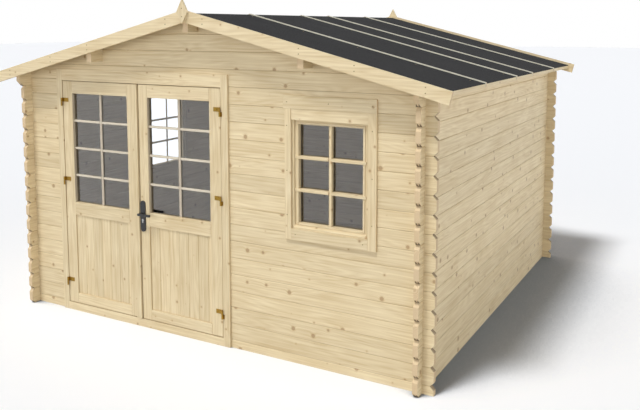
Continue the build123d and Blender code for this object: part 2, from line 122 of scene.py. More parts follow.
class Bench:
    """The modelling steps that the pieces are made with."""

    @staticmethod
    def clear() -> None:
        """Select nothing, so that the next step acts on its own piece alone."""
        bpy.ops.object.select_all(action="DESELECT")

    @staticmethod
    def take(piece: Piece) -> None:
        """Select one piece alone and make it the active one."""
        Bench.clear()
        piece.select_set(True)
        bpy.context.view_layer.objects.active = piece

    @staticmethod
    def settle(name: str) -> Piece:
        """Name the new piece and put its place, turn and size into its mesh."""
        piece = bpy.context.object
        piece.name = name
        bpy.ops.object.transform_apply(location=True, rotation=True, scale=True)
        return piece

    @staticmethod
    def pick(piece: Piece, kind: str, test: Callable) -> None:
        """Select part of a piece in edit mode by its place.

        Args:
            piece: The piece, which is left in edit mode.
            kind: VERT, EDGE or FACE.
            test: True for an element that is to be selected.
        """
        Bench.take(piece)
        bpy.ops.object.mode_set(mode="EDIT")
        bpy.ops.mesh.select_mode(type=kind)
        bpy.ops.mesh.select_all(action="DESELECT")
        mesh = bmesh.from_edit_mesh(piece.data)
        for element in {"VERT": mesh.verts, "EDGE": mesh.edges, "FACE": mesh.faces}[kind]:
            if test(element):
                element.select_set(True)
        mesh.select_flush_mode()
        bmesh.update_edit_mesh(piece.data)

    @staticmethod
    def done() -> None:
        """Leave edit mode."""
        bpy.ops.object.mode_set(mode="OBJECT")

    @staticmethod
    def plank(name: str, block: Block, ease: float, board: float = 0.0) -> Piece:
        """A planed board: a cube at its size and place with eased edges.

        Args:
            name: The piece's name.
            block: The space that the board fills.
            ease: How much is taken off each edge.
            board: The board's own number, which its grain and tone follow.

        Returns:
            The board, with its place in its mesh.
        """
        Bench.clear()
        bpy.ops.mesh.primitive_cube_add(size=1.0, location=block.middle, scale=block.size)
        piece = Bench.settle(name)
        Bench.pick(piece, "EDGE", lambda edge: True)
        bpy.ops.mesh.bevel(offset=ease, segments=1)
        Bench.done()
        Bench.number(piece, board)
        return piece

    @staticmethod
    def number(piece: Piece, board: float) -> None:
        """Write a board's number on its mesh, for its finish to read."""
        layer = piece.data.attributes.get("board")
        if layer is None:
            layer = piece.data.attributes.new("board", "FLOAT", "POINT")
        layer.data.foreach_set("value", [board] * len(piece.data.vertices))

    @staticmethod
    def boards(name: str, blocks: Iterable[Block], ease: float, board: float) -> Piece:
        """Boards joined as one piece.

        Args:
            name: The piece's name.
            blocks: The space that each board fills.
            ease: How much is taken off each edge.
            board: The first board's number; the others count on from it.

        Returns:
            The piece.
        """
        parts = [Bench.plank(name, block, ease, board + count) for count, block in enumerate(blocks)]
        return Bench.unite(name, parts)

    @staticmethod
    def row(
        name: str, whole: Block, pitch: float, ease: float, board: float, shape: Callable | None = None
    ) -> Piece:
        """Like boards laid one beside the other along Y.

        Args:
            name: The piece's name.
            whole: The space that all of them fill.
            pitch: About how wide a board is.
            ease: How much is taken off each edge.
            board: The first board's number; the others count on from it.
            shape: What is done to the first board before it is copied.

        Returns:
            The piece.
        """
        count = round(whole.size.y / pitch)
        wide = whole.size.y / count
        low = (whole.low.x, whole.low.y + BOARD_GAP / 2, whole.low.z)
        high = (whole.high.x, whole.low.y + wide - BOARD_GAP / 2, whole.high.z)
        first = Bench.plank(name, Block.between(low, high), ease, board)
        if shape:
            shape(first)
        shifts = [(0.0, wide * step, 0.0) for step in range(1, count)]
        return Bench.unite(name, Bench.copies(first, shifts, board))

    @staticmethod
    def copies(piece: Piece, shifts: Iterable[Triple], first: float = 0.0) -> list[Piece]:
        """Copy a piece to other places, each copy with its own mesh.

        Args:
            piece: The piece that is copied.
            shifts: How far each copy stands from the piece.
            first: The number of the piece; the copies count on from it.

        Returns:
            The piece and its copies.
        """
        made = [piece]
        for count, shift in enumerate(shifts, 1):
            Bench.take(piece)
            bpy.ops.object.duplicate(linked=False)
            bpy.ops.transform.translate(value=shift)
            copy = Bench.settle(piece.name)
            Bench.number(copy, first + count)
            made.append(copy)
        return made

    @staticmethod
    def screws(name: str, places: Sequence[Triple], way: Triple, radius: float = 4 * MM) -> Piece:
        """Screw heads with their drives, standing a little proud, as one piece.

        Args:
            name: The piece's name.
            places: The middle of each head, on the surface that it is driven into.
            way: Which way the surface faces.
            radius: A head's radius.

        Returns:
            The piece.
        """
        out = Vector(way).normalized()
        turn = out.to_track_quat("Z", "Y").to_euler()
        Bench.clear()
        bpy.ops.mesh.primitive_cylinder_add(
            vertices=14, radius=radius, depth=2 * MM, location=places[0], rotation=turn
        )
        first = Bench.settle(name)
        Bench.pick(first, "FACE", lambda face: face.normal.dot(out) > 0.9)
        for share, depth in ((0.22, 0.45), (0.32, 0.15), (0.14, -0.8)):
            bpy.ops.mesh.inset(thickness=radius * share, depth=depth * MM)
        Bench.done()
        shifts = [Vector(place) - Vector(places[0]) for place in places[1:]]
        return Bench.unite(name, Bench.copies(first, shifts))

    @staticmethod
    def unite(name: str, parts: Sequence[Piece]) -> Piece:
        """Join parts into one piece under a new name."""
        Bench.take(parts[0])
        for part in parts:
            part.select_set(True)
        if len(parts) > 1:
            bpy.ops.object.join()
        piece = bpy.context.object
        piece.name = name
        piece.data.name = name
        return piece

    @staticmethod
    def fit(piece: Piece, finish: Finish, *stands_for: str, body: str = "cabin") -> None:
        """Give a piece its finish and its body.

        Args:
            piece: The finished shape.
            finish: What it is dressed in.
            stands_for: The nodes that the piece replaces.
            body: The body it moves with.
        """
        piece.data.materials.clear()
        piece.data.materials.append(finish.material)
        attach(piece, body)
        if stands_for:
            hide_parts(*stands_for)
        LOG.info("%s: %d faces on %s", piece.name, len(piece.data.polygons), body)

    @staticmethod
    def paint(finish: Finish, *nodes: str) -> None:
        """Give nodes of the frame their finish."""
        for node in nodes:
            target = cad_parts[node]
            target.data.materials.clear()
            target.data.materials.append(finish.material)
            LOG.info("%s: finish %s", node, finish.material.name)


class Sheet:
    """A tree of shader nodes with short ways to add and join them."""

    def __init__(self, tree: bpy.types.NodeTree) -> None:
        """Hold the tree that is worked on."""
        self.tree = tree

    def put(self, node: bpy.types.Node, values: dict) -> None:
        """Set each named or numbered input of a node, or join it where a socket is given."""
        for key, value in values.items():
            if isinstance(value, Socket):
                self.tree.links.new(value, node.inputs[key])
            else:
                node.inputs[key].default_value = value

    def add(self, kind: str, values: dict | None = None, **settings: object) -> bpy.types.Node:
        """Add a node.

        Args:
            kind: The node's type without its first word ShaderNode.
            values: What each input is set or joined to, by its name or number.
            settings: The node's own properties.

        Returns:
            The new node.
        """
        node = self.tree.nodes.new(f"ShaderNode{kind}")
        for key, value in settings.items():
            setattr(node, key, value)
        self.put(node, values or {})
        return node

    def math(self, operation: str, *values: object) -> Socket:
        """The result of a sum on up to three values."""
        return self.add("Math", dict(enumerate(values)), operation=operation).outputs[0]

    def vector(self, operation: str, *values: object, out: str = "Vector") -> Socket:
        """The result of a sum on vectors."""
        return self.add("VectorMath", dict(enumerate(values)), operation=operation).outputs[out]

    def part(self, vector: object, side: str) -> Socket:
        """The X, Y or Z of a vector."""
        return self.add("SeparateXYZ", {0: vector}).outputs[side]

    def point(self, *sides: object) -> Socket:
        """A vector put together from its sides."""
        return self.add("CombineXYZ", dict(enumerate(sides))).outputs[0]

    def ramp(self, value: object, low: float, high: float, start: float = 0.0, end: float = 1.0) -> Socket:
        """A smooth step of a value from low to high, as start to end."""
        values = {"Value": value, "From Min": low, "From Max": high, "To Min": start, "To Max": end}
        return self.add("MapRange", values, interpolation_type="SMOOTHSTEP").outputs["Result"]

    def blend(self, share: object, first: object, second: object, mode: str = "MIX") -> Socket:
        """Two colours mixed by a share of the second."""
        values = {0: share, 6: first, 7: second}
        return self.add("Mix", values, data_type="RGBA", blend_type=mode).outputs[2]

    def noise(self, place: object, detail: float = 2.0, scale: float = 1.0) -> Socket:
        """Smooth noise from 0 to 1 at a place."""
        values = {"Vector": place, "Scale": scale, "Detail": detail, "Roughness": 0.55}
        return self.add("TexNoise", values).outputs["Fac"]

    def sway(self, share: object, waves: dict[Socket, float]) -> Socket:
        """A share from 0 to 1, moved up and down by waves round a half, each by its own amount."""
        for wave, amount in waves.items():
            share = self.math("MULTIPLY_ADD", self.math("SUBTRACT", wave, 0.5), amount, share)
        return self.add("Clamp", {0: share}).outputs[0]


class Surface(Sheet):
    """A material in the making."""

    def __init__(self, name: str) -> None:
        """Start a material that has only its output."""
        self.material = bpy.data.materials.new(name)
        self.material.use_nodes = True
        super().__init__(self.material.node_tree)
        self.tree.nodes.clear()
        self.output = self.add("OutputMaterial")

    def shade(self, values: dict, relief: tuple[float, float, Socket] | None = None) -> Socket:
        """Add the main shader and join it to the output.

        Args:
            values: What its inputs are set or joined to.
            relief: The strength, the depth and the height of its bump.

        Returns:
            The shader's result.
        """
        shader = self.add("BsdfPrincipled", values)
        if relief:
            bump = self.add("Bump", dict(zip(("Strength", "Distance", "Height"), relief)))
            self.put(shader, {"Normal": bump.outputs[0]})
        self.put(self.output, {"Surface": shader.outputs[0]})
        return shader.outputs[0]


class Group(Sheet):
    """A group of shader nodes in the making."""

    def __init__(self, name: str, inputs: dict[str, object], outputs: dict[str, str]) -> None:
        """Start a group.

        Args:
            name: The group's name.
            inputs: Each input's starting value, by its name.
            outputs: Each output's kind, by its name.
        """
        super().__init__(bpy.data.node_groups.new(name, "ShaderNodeTree"))
        kinds = {1: "Float", 3: "Vector", 4: "Color"}
        for key, value in inputs.items():
            kind = kinds[1 if isinstance(value, float) else len(value)]
            socket = self.tree.interface.new_socket(key, in_out="INPUT", socket_type=f"NodeSocket{kind}")
            socket.default_value = value
        for key, kind in outputs.items():
            self.tree.interface.new_socket(key, in_out="OUTPUT", socket_type=f"NodeSocket{kind}")
        self.given = self.tree.nodes.new("NodeGroupInput").outputs
        self.result = self.tree.nodes.new("NodeGroupOutput")


class PineGroups:
    """The node groups that all the pine finishes share."""

    def __init__(self) -> None:
        """Build the groups."""
        self.course = self.build_course()
        self.figure = self.build_figure()

    def build_course(self) -> bpy.types.NodeTree:
        """The log that a point of a wall is on, how near it is to a joint, and a mask of painted shade on
        the log ends' cut corners.
        """
        inputs = dict.fromkeys(("Start", "Wall", "Under_Shade", "Over_Shade", "Rib"), 0.0) | {"Along": (1.0, 0.0, 0.0)}
        sheet = Group("log_course", inputs, {"Log": "Float", "Seam": "Float", "Notch_Shade": "Float"})
        given = sheet.given
        places = sheet.add("TexCoord").outputs
        height = sheet.math("SUBTRACT", sheet.part(places["Object"], "Z"), given["Start"])
        rows = sheet.math("DIVIDE", height, COURSE)
        number = sheet.math("ADD", sheet.math("FLOOR", rows), sheet.math("MULTIPLY", given["Wall"], 31.0))
        part = sheet.math("FRACT", rows)
        near = sheet.math("MINIMUM", part, sheet.math("SUBTRACT", 1.0, part))
        seam = sheet.ramp(sheet.math("MULTIPLY", near, COURSE), 1.0 * MM, 2.6 * MM, 1.0, 0.0)
        # Painted shade on the log ends' cut corners: faces that slope along the log and up or down are
        # darkened, in place of the shade inside the notch between logs.
        lean = sheet.part(places["Normal"], "Z")
        facing = sheet.vector("DOT_PRODUCT", places["Normal"], given["Along"], out="Value")
        sloped = sheet.ramp(sheet.math("ABSOLUTE", facing), 0.45, 0.60)
        under = sheet.math("MULTIPLY", sheet.ramp(lean, -0.45, -0.60), given["Under_Shade"])
        over = sheet.math("MULTIPLY", sheet.ramp(lean, 0.45, 0.60), given["Over_Shade"])
        notch_shade = sheet.math("MULTIPLY", sloped, sheet.math("ADD", under, over))
        # Near the rib the painted shade rises in two lobes from the joint, as the shade in two grooves, and
        # leaves the tongue between them unshaded.
        side = sheet.math("SUBTRACT", sheet.part(places["Object"], "X"), given["Rib"])
        side = sheet.math("ABSOLUTE", side)
        quarter = LOG_THICK / 4
        lobe = sheet.math("ABSOLUTE", sheet.math("SUBTRACT", side, quarter))
        peak = sheet.ramp(lobe, 0.0, quarter, 21 * MM, 5 * MM)
        over_seam = sheet.math("MULTIPLY", part, COURSE)
        shape = sheet.ramp(sheet.math("SUBTRACT", peak, over_seam), 0.0, 2 * MM)
        shape = sheet.math("MAXIMUM", shape, sheet.ramp(side, 0.1, 0.2))
        notch_shade = sheet.math("MULTIPLY", notch_shade, shape)
        sheet.put(sheet.result, {"Log": number, "Seam": seam, "Notch_Shade": notch_shade})
        return sheet.tree

    def build_figure(self) -> bpy.types.NodeTree:
        """Planed pine: growth bands, fibres, knots, end grain, a tone for each board, and painted shade in
        the log ends' cut corners.
        """
        inputs = {
            "Along": (1.0, 0.0, 0.0),
            "Across": (0.0, 1.0, 1.0),
            "Board": 0.0,
            "Seam": 0.0,
            "Notch_Shade": 0.0,
            "Light": (0.8, 0.66, 0.42, 1.0),
            "Dark": (0.7, 0.54, 0.31, 1.0),
            "Knots": 1.0,
        }
        sheet = Group("pine_figure", inputs, {"Colour": "Color", "Roughness": "Float", "Height": "Float"})
        wood = sheet.given
        places = sheet.add("TexCoord").outputs
        spot = places["Object"]
        shift = sheet.math("MULTIPLY", wood["Board"], 0.7133)
        run = sheet.vector("DOT_PRODUCT", spot, wood["Along"], out="Value")
        run = sheet.math("MULTIPLY_ADD", shift, 2.3, run)
        rise = sheet.math("ADD", sheet.vector("DOT_PRODUCT", spot, wood["Across"], out="Value"), shift)
        deep = sheet.math("MULTIPLY", wood["Board"], 5.31)

        cell = 155 * MM
        grid = sheet.point(sheet.math("DIVIDE", run, cell), sheet.math("DIVIDE", rise, cell))
        cells = sheet.add("TexVoronoi", {"Vector": grid, "Scale": 1.0}, voronoi_dimensions="2D").outputs
        away = sheet.math("MULTIPLY", cells["Distance"], cell)
        chance = sheet.add("SeparateColor", {0: cells["Color"]}).outputs[0]
        grown = sheet.math("MULTIPLY", sheet.ramp(chance, 0.35, 1.0), wood["Knots"])
        inside = sheet.math("SUBTRACT", sheet.math("MULTIPLY", grown, 14.0 * MM), away)
        knot = sheet.ramp(inside, -3.5 * MM, 3.5 * MM)
        rim = sheet.math("MULTIPLY", sheet.ramp(inside, -13.0 * MM, 0.0), sheet.ramp(grown, 0.02, 0.2))
        bend = sheet.math("MULTIPLY", grown, 16 * MM)
        flow = sheet.math("MULTIPLY", sheet.ramp(away, 42 * MM, 0.0), bend)
        bent = sheet.math("ADD", rise, flow)

        def drawn(along: float, across: float) -> Socket:
            """A place on the wood, drawn out along the grain."""
            lengths = (sheet.math("MULTIPLY", way, share) for way, share in ((run, along), (bent, across)))
            return sheet.point(*lengths, deep)

        band = sheet.math("SINE", sheet.math("MULTIPLY", sheet.noise(drawn(0.75, 9.0), 1.0), 95.0))
        streak = sheet.noise(drawn(2.2, 75.0), 3.0)
        fibre = sheet.noise(drawn(14.0, 620.0), 2.0)
        cloud = sheet.noise(sheet.vector("ADD", spot, sheet.point(deep)), 2.0, 3.1)
        share = sheet.math("MULTIPLY_ADD", band, 0.11, 0.42)
        share = sheet.sway(share, {streak: 1.5, fibre: 0.35, cloud: 0.7})
        face = sheet.blend(share, wood["Light"], wood["Dark"])
        face = sheet.blend(sheet.math("MULTIPLY", rim, 0.40), face, (0.58, 0.40, 0.20, 1.0))
        face = sheet.blend(sheet.math("MULTIPLY", knot, 0.68), face, (0.35, 0.215, 0.11, 1.0))
        seed = sheet.math("MULTIPLY", wood["Board"], 1.37)
        tone = sheet.add("TexWhiteNoise", {"W": seed}, noise_dimensions="1D")
        level = sheet.math("MULTIPLY_ADD", tone.outputs["Value"], 0.10, 0.945)
        face = sheet.blend(1.0, face, sheet.point(level, level, level), "MULTIPLY")

        flat = sheet.vector("MULTIPLY", spot, sheet.vector("SUBTRACT", (1.0, 1.0, 1.0), wood["Along"]))
        hearts = sheet.add("TexVoronoi", {"Vector": flat, "Scale": 6.3}, voronoi_dimensions="3D")
        ring = sheet.math("SINE", sheet.math("MULTIPLY", hearts.outputs["Distance"], 330.0))
        ring = sheet.math("MULTIPLY_ADD", ring, 0.5, 0.5)
        end = sheet.blend(ring, (0.735, 0.565, 0.345, 1.0), (0.60, 0.43, 0.25, 1.0))
        end = sheet.blend(sheet.math("MULTIPLY", cloud, 0.5), end, (0.66, 0.54, 0.38, 1.0))
        facing = sheet.vector("DOT_PRODUCT", places["Normal"], wood["Along"], out="Value")
        cut = sheet.ramp(sheet.math("ABSOLUTE", facing), 0.62, 0.74)
        face = sheet.blend(cut, face, end)
        face = sheet.blend(sheet.math("MULTIPLY", wood["Seam"], 0.28), face, (0.22, 0.145, 0.08, 1.0))
        # Painted shade: the log ends' cut corners, by the notch mask, are darkened to a near-black brown.
        face = sheet.blend(sheet.math("MULTIPLY", wood["Notch_Shade"], 0.88), face, (0.13, 0.095, 0.055, 1.0))

        rough = sheet.math("MULTIPLY_ADD", streak, 0.16, 0.52)
        rough = sheet.math("MULTIPLY_ADD", cut, 0.15, rough)
        rough = sheet.math("MULTIPLY_ADD", knot, -0.14, rough)
        height = sheet.math("MULTIPLY_ADD", band, -0.18, sheet.math("MULTIPLY", fibre, 0.6))
        height = sheet.math("MULTIPLY_ADD", knot, 0.5, height)
        sheet.put(sheet.result, {"Colour": face, "Roughness": rough, "Height": height})
        return sheet.tree


class Grain(Enum):
    """The way that the grain runs, and what counts as across it."""

    X = ((1.0, 0.0, 0.0), (0.0, 0.83, 1.0))
    Y = ((0.0, 1.0, 0.0), (0.83, 0.0, 1.0))
    Z = ((0.0, 0.0, 1.0), (1.0, 0.79, 0.0))


@dataclass(frozen=True)
class Pine:
    """Planed pine with its grain one way.

    Args:
        name: The finish's name.
        grain: The way that the grain runs.
        wall: A number for the finish, so that no two are alike.
        light: The colour between the growth bands.
        dark: The colour of the growth bands.
        knots: How large the knots grow, 1 for full size.
        slot: The name of its slot.
        start: The height of a log joint, where the piece is a wall of logs.
        under: How strong the painted shade is on the undersides of the log ends' cut corners.
        over: How strong the painted shade is on their upper sides.
        rib: Where across the wall a cut corner's painted shade leaves the tongue unshaded.
    """

    name: str
    grain: Grain
    wall: float
    light: Colour = (0.804, 0.682, 0.456, 1.0)
    dark: Colour = (0.592, 0.451, 0.249, 1.0)
    knots: float = 1.0
    slot: str = "joinery_pine"
    start: float | None = None
    under: float = 0.0
    over: float = 0.0
    rib: float = 9.0

    def build(self, groups: PineGroups) -> Finish:
        """The finish, from the groups that all the pine shares."""
        sheet = Surface(self.name)
        along, across = self.grain.value
        values = {"Along": along, "Across": across, "Knots": self.knots}
        values |= {"Light": self.light, "Dark": self.dark}
        if self.start is None:
            board = sheet.add("Attribute", attribute_name="board").outputs["Fac"]
            values["Board"] = sheet.math("ADD", board, self.wall * 31.0)
        else:
            place = {"Start": self.start, "Wall": self.wall, "Along": along}
            place |= {"Under_Shade": self.under, "Over_Shade": self.over, "Rib": self.rib}
            course = sheet.add("Group", place, node_tree=groups.course).outputs
            values |= {"Board": course["Log"], "Seam": course["Seam"], "Notch_Shade": course["Notch_Shade"]}
        figure = sheet.add("Group", values, node_tree=groups.figure).outputs
        look = {"Base Color": figure["Colour"], "Roughness": figure["Roughness"], "Specular IOR Level": 0.35}
        sheet.shade(look, (0.35, 0.4 * MM, figure["Height"]))
        return Finish(sheet.material, self.slot)


@dataclass(frozen=True)
class Felt:
    """Bitumen felt faced with mineral grit.

    Args:
        name: The finish's name.
        dark: The bitumen between the grains.
        light: The palest grains.
        grain: The size of a grain.
    """

    name: str = "roof_felt_grit"
    dark: Colour = (0.020, 0.020, 0.021, 1.0)
    light: Colour = (0.060, 0.060, 0.062, 1.0)
    grain: float = 1.6 * MM

    def build(self) -> Finish:
        """The finish."""
        sheet = Surface(self.name)
        spot = sheet.add("TexCoord").outputs["Object"]
        grit = sheet.add("TexVoronoi", {"Vector": spot, "Scale": 1.0 / self.grain}).outputs
        grit_tone = sheet.add("SeparateColor", {0: grit["Color"]}).outputs[0]
        cloud = sheet.noise(spot, 3.0, 2.4)
        speckle = sheet.noise(spot, 2.0, 130.0)
        share = sheet.math("MULTIPLY_ADD", grit_tone, 0.6, sheet.math("MULTIPLY", cloud, 0.35))
        colour = sheet.blend(sheet.sway(share, {speckle: 0.5}), self.dark, self.light)
        rough = sheet.math("MULTIPLY_ADD", speckle, 0.15, 0.80)
        look = {"Base Color": colour, "Roughness": rough, "Specular IOR Level": 0.03}
        sheet.shade(look, (0.5, 0.8 * MM, grit["Distance"]))
        return Finish(sheet.material, "felt")


@dataclass(frozen=True)
class Metal:
    """Brushed or painted metal with handling marks.

    Args:
        name: The finish's name.
        slot: The name of its slot.
        colour: The clean metal's colour.
        worn: The colour where it is rubbed.
        metallic: 1 for bare metal, 0 for paint.
        rough: The clean metal's roughness.
    """

    name: str
    slot: str
    colour: Colour
    worn: Colour
    metallic: float
    rough: float

    def build(self) -> Finish:
        """The finish."""
        sheet = Surface(self.name)
        spot = sheet.add("TexCoord").outputs["Object"]
        brushed = sheet.noise(sheet.vector("MULTIPLY", spot, (900.0, 900.0, 60.0)), 2.0)
        rub = sheet.ramp(sheet.noise(spot, 4.0, 55.0), 0.55, 0.72)
        rough = sheet.math("MULTIPLY_ADD", sheet.math("SUBTRACT", brushed, 0.5), 0.22, self.rough)
        rough = sheet.math("MULTIPLY_ADD", rub, 0.12, rough)
        colour = sheet.blend(rub, self.colour, self.worn)
        look = {"Base Color": colour, "Roughness": rough, "Metallic": self.metallic}
        sheet.shade(look, (0.15, 0.15 * MM, brushed))
        return Finish(sheet.material, self.slot)


@dataclass(frozen=True)
class Pane:
    """Clear float glass that lets the lamps through.

    Args:
        name: The finish's name.
        tint: The glass's faint colour.
        shade: How much of a lamp's light gets through.
    """

    name: str = "clear_pane"
    tint: Colour = (0.985, 0.992, 0.990, 1.0)
    shade: float = 0.06

    def build(self) -> Finish:
        """The finish."""
        sheet = Surface(self.name)
        spot = sheet.add("TexCoord").outputs["Object"]
        film = sheet.ramp(sheet.noise(spot, 4.0, 7.0), 0.45, 0.8, 0.0, 0.03)
        look = {"Base Color": self.tint, "Roughness": film, "Transmission Weight": 1.0, "IOR": 1.74}
        look["Specular Tint"] = (1.0, 0.93, 0.85, 1.0)
        glass = sheet.shade(look)
        through = sheet.add("BsdfTransparent", {"Color": grey(self.shade)}).outputs[0]
        lamp_ray = sheet.add("LightPath").outputs["Is Shadow Ray"]
        mixed = sheet.add("MixShader", {0: lamp_ray, 1: glass, 2: through})
        sheet.put(sheet.output, {"Surface": mixed.outputs[0]})
        return Finish(sheet.material, "glazing")


class Finishes:
    """Every finish of the cabin, built once."""

    def __init__(self) -> None:
        """Build the materials."""
        groups = PineGroups()

        def pine(name: str, grain: Grain, wall: float, *colours: Colour, **values: object) -> Finish:
            """One pine finish."""
            return Pine(name, grain, wall, *colours, **values).build(groups)

        rib = -LEFT_FACE - LOG_THICK / 2
        # The side walls' logs are painted about 7% paler than the front's: painted light on the walls that
        # the lamp does not reach.
        pale, warm = (0.860, 0.730, 0.490, 1.0), (0.634, 0.484, 0.268, 1.0)
        # under and over set how strong the painted shade is in the log ends' cut corners.
        side = {"start": 0.0, "under": 1.0, "slot": "log_pine"}
        cross = {"start": COURSE / 2, "over": 0.66, "under": 0.3, "slot": "log_pine"}
        self.side_right = pine("logs_right_wall", Grain.Y, 1.0, pale, warm, rib=rib, **side)
        self.side_left = pine("logs_left_wall", Grain.Y, 2.0, pale, warm, rib=-rib, **side)
        self.front = pine("logs_front_wall", Grain.X, 3.0, **cross)
        self.back = pine("logs_back_wall", Grain.X, 4.0, **cross)
        self.purlin = pine("purlin_pine", Grain.Y, 5.0, slot="log_pine")
        self.across = pine("joinery_across", Grain.X, 6.0, knots=0.55)
        self.deep = pine("joinery_deep", Grain.Y, 7.0, knots=0.55)
        self.upright = pine("joinery_upright", Grain.Z, 8.0, knots=0.55)
        self.slope = pine("roof_board_pine", Grain.X, 9.0, slot="log_pine")
        sawn = (0.74, 0.60, 0.40, 1.0), (0.60, 0.45, 0.27, 1.0)
        self.floor = pine("floorboard_pine", Grain.X, 10.0, *sawn, slot="floor_pine")
        self.joist = pine("joist_pine", Grain.Y, 11.0, *sawn, slot="floor_pine")
        # The upright glazing bars are painted darker than the rungs: painted shade on the uprights.
        bright = (0.700, 0.640, 0.525, 1.0), (0.580, 0.510, 0.395, 1.0)
        self.bar_across = pine("glazing_bar_across", Grain.X, 12.0, *bright, knots=0.0)
        shaded_bar_tones = (0.580, 0.510, 0.410, 1.0), (0.490, 0.420, 0.325, 1.0)
        self.bar_upright = pine("glazing_bar_upright_painted_shade", Grain.Z, 13.0, *shaded_bar_tones, knots=0.0)
        weathered = (0.720, 0.700, 0.580, 1.0), (0.600, 0.570, 0.460, 1.0)
        self.batten = pine("batten_pine", Grain.X, 14.0, *weathered, knots=0.0)
        greyed = (0.720, 0.610, 0.440, 1.0), (0.560, 0.460, 0.320, 1.0)
        self.lining = pine("lining_pine", Grain.Z, 15.0, *greyed, knots=0.0)
        # The spacers are painted near-black: painted shade inside the pane.
        shade_black = (0.075, 0.050, 0.028, 1.0), (0.045, 0.030, 0.018, 1.0)
        self.spacer = pine("spacer_painted_shade", Grain.Z, 16.0, *shade_black, knots=0.0)
        yellow, ochre = (0.370, 0.225, 0.045, 1.0), (0.210, 0.120, 0.022, 1.0)
        self.brass = Metal("dull_brass", "hinge_brass", yellow, ochre, 1.0, 0.32).build()
        soot, scuff = (0.022, 0.022, 0.024, 1.0), (0.060, 0.058, 0.055, 1.0)
        self.black = Metal("satin_black", "black_metal", soot, scuff, 0.0, 0.42).build()
        zinc, dusty = (0.34, 0.27, 0.15, 1.0), (0.24, 0.19, 0.10, 1.0)
        self.zinc = Metal("zinc_screw", "hinge_brass", zinc, dusty, 1.0, 0.45).build()
        steel, dim = (0.55, 0.55, 0.54, 1.0), (0.42, 0.41, 0.40, 1.0)
        self.steel = Metal("lock_steel", "black_metal", steel, dim, 1.0, 0.30).build()
        self.felt = Felt().build()
        self.pane = Pane().build()


class Facing(Enum):
    """The wall that a window is set in."""

    FRONT = "front"
    LEFT = "left"

    def block(self, centre: float, low: Triple, high: Triple) -> Block:
        """A block given from the wall.

        Args:
            centre: The window's middle along its wall.
            low: Distance along the wall from there, outwards and up.
            high: The same for the other corner.

        Returns:
            The block in the frame.
        """
        corners = []
        for along, out, up in (low, high):
            if self is Facing.FRONT:
                corners.append((centre + along, FRONT_FACE - out, up))
            else:
                corners.append((LEFT_FACE - out, centre + along, up))
        return Block.between(*corners)


